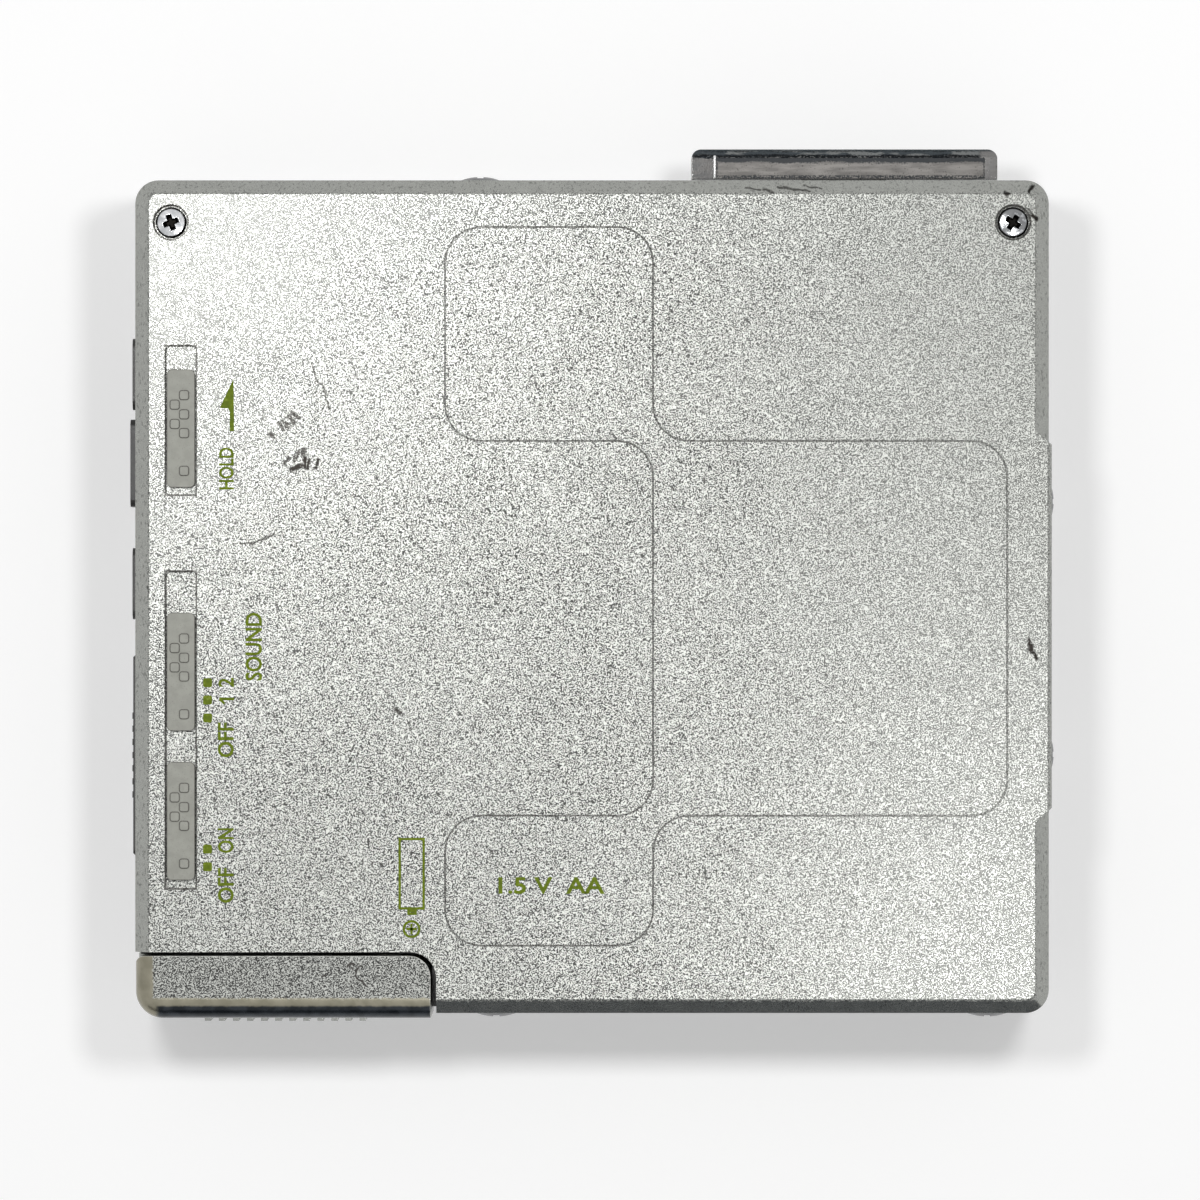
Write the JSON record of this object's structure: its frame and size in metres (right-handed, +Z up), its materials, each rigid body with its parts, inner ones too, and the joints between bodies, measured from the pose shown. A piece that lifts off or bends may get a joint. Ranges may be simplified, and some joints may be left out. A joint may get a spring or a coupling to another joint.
{
  "type": "portable minidisc player",
  "caption": "Pocket minidisc player lying on its lid: grained silver case that opens on a side hinge, with slide switches, volume keys, a chrome control bar and a corner battery door.",
  "frame": {"origin": "middle of the lid's outer face, which the player lies on", "axes": "+X to the hinge side, +Y to the control bar side, +Z up from the lid to the underside"},
  "size_m": [0.0875, 0.0825, 0.024],
  "materials": {
    "painted_shell": "silver paint with a sparkling sand grain",
    "lid_skin": "satin silver",
    "frame_grey": "dark silver paint",
    "key_grey": "satin grey",
    "slider_grey": "matte warm grey",
    "chrome_bar": "worn chrome plating",
    "black_plastic": "satin black",
    "bright_steel": "plated sheet",
    "zinc_screw": "bright zinc",
    "shaft_steel": "ground",
    "spring_brass": "plain",
    "board_green": "solder resist",
    "damper_rubber": "matte",
    "coil_copper": "enamelled wire",
    "magnet_grey": "sintered",
    "sled_cast": "die cast",
    "lens_glass": "coated",
    "gear_ivory": "moulded"
  },
  "bodies": {
    "lid": {"lid": "lid_skin", "disc_holder": "bright_steel", "disc_springs": "spring_brass", "holder_screws": "zinc_screw", "lid_catch": "bright_steel", "hinge_pins": "shaft_steel"},
    "case": {"side_frame": "frame_grey", "bottom_cover": "painted_shell", "case_screws": "zinc_screw", "side_screws": "zinc_screw", "hinge_bracket": "bright_steel", "hinge_screws": "zinc_screw", "battery_door_pin": "shaft_steel", "battery_tube": "black_plastic", "negative_spring": "spring_brass", "headphone_jack": "black_plastic", "volume_switches": "bright_steel", "slide_switches": "bright_steel", "switch_board": "board_green", "control_board": "board_green", "control_switches": "bright_steel", "main_board": "board_green", "board_chips": "black_plastic", "board_screws": "zinc_screw", "drive_chassis": "bright_steel", "chassis_dampers": "damper_rubber", "chassis_screws": "zinc_screw", "motor_cup": "bright_steel", "motor_coils": "coil_copper", "main_guide_shaft": "shaft_steel", "sub_guide_shaft": "shaft_steel", "sled_motor": "bright_steel"},
    "open_slider": {"open_slider": "key_grey", "latch_bar": "bright_steel"},
    "battery_door": {"battery_door": "painted_shell", "positive_contact": "spring_brass"},
    "volume_up_key": {"volume_up_key": "key_grey"},
    "volume_down_key": {"volume_down_key": "key_grey"},
    "hold_slider": {"hold_slider": "slider_grey"},
    "sound_slider": {"sound_slider": "slider_grey"},
    "limiter_slider": {"limiter_slider": "slider_grey"},
    "control_carriage": {"control_carriage": "black_plastic"},
    "control_bar": {"control_bar": "chrome_bar"},
    "turntable": {"turntable": "bright_steel", "rotor_magnet": "magnet_grey"},
    "pickup": {"pickup_sled": "sled_cast", "lens_actuator": "black_plastic", "objective_lens": "lens_glass"},
    "lead_screw": {"lead_screw": "shaft_steel", "sled_gear": "gear_ivory"},
    "sled_pinion": {"sled_pinion": "gear_ivory"}
  },
  "joints": [
    {"name": "lid_hinge", "type": "hinge", "parent": "lid", "child": "case", "pos_m": [0.0423, 0, 0.0029], "axis": [0, 1, 0], "range_deg": [0, 30]},
    {"name": "open_slide", "type": "slide", "parent": "case", "child": "open_slider", "axis": [0, -1, 0], "range_m": [0, 0.002], "stiffness_N_per_m": 150},
    {"name": "battery_door_hinge", "type": "hinge", "parent": "case", "child": "battery_door", "pos_m": [-0.042, -0.035, 0.0153], "axis": [0, 0, -1], "range_deg": [0, 100]},
    {"name": "volume_up_press", "type": "slide", "parent": "case", "child": "volume_up_key", "axis": [1, 0, 0], "range_m": [0, 0.00045], "stiffness_N_per_m": 400},
    {"name": "volume_down_press", "type": "slide", "parent": "case", "child": "volume_down_key", "axis": [1, 0, 0], "range_m": [0, 0.00045], "stiffness_N_per_m": 400},
    {"name": "hold_slide", "type": "slide", "parent": "case", "child": "hold_slider", "axis": [0, 1, 0], "range_m": [0, 0.002]},
    {"name": "sound_slide", "type": "slide", "parent": "case", "child": "sound_slider", "axis": [0, 1, 0], "range_m": [0, 0.0033]},
    {"name": "limiter_slide", "type": "slide", "parent": "case", "child": "limiter_slider", "axis": [0, 1, 0], "range_m": [0, 0.00165]},
    {"name": "control_shift", "type": "slide", "parent": "case", "child": "control_carriage", "axis": [1, 0, 0], "range_m": [-0.0015, 0.0015], "stiffness_N_per_m": 200},
    {"name": "control_press", "type": "slide", "parent": "control_carriage", "child": "control_bar", "axis": [0, -1, 0], "range_m": [0, 0.00025], "stiffness_N_per_m": 400},
    {"name": "spindle_turn", "type": "hinge", "parent": "case", "child": "turntable", "pos_m": [0.0032, 0, 0.009], "axis": [0, 0, 1], "continuous": true},
    {"name": "pickup_slide", "type": "slide", "parent": "case", "child": "pickup", "axis": [0, -1, 0], "range_m": [0, 0.015]},
    {"name": "lead_screw_turn", "type": "hinge", "parent": "case", "child": "lead_screw", "pos_m": [0.019, -0.02, 0.0136], "axis": [0, 1, 0], "range_deg": [-5, 2705]},
    {"name": "pinion_turn", "type": "hinge", "parent": "case", "child": "sled_pinion", "pos_m": [0.0235, -0.0063, 0.0136], "axis": [0, 1, 0], "range_deg": [-5405, 5]}
  ],
  "couplings": [
    {"joint": "lead_screw_turn", "follows": "pickup_slide", "rad_per_m": 3141.6},
    {"joint": "pinion_turn", "follows": "pickup_slide", "rad_per_m": -6283.2}
  ]
}
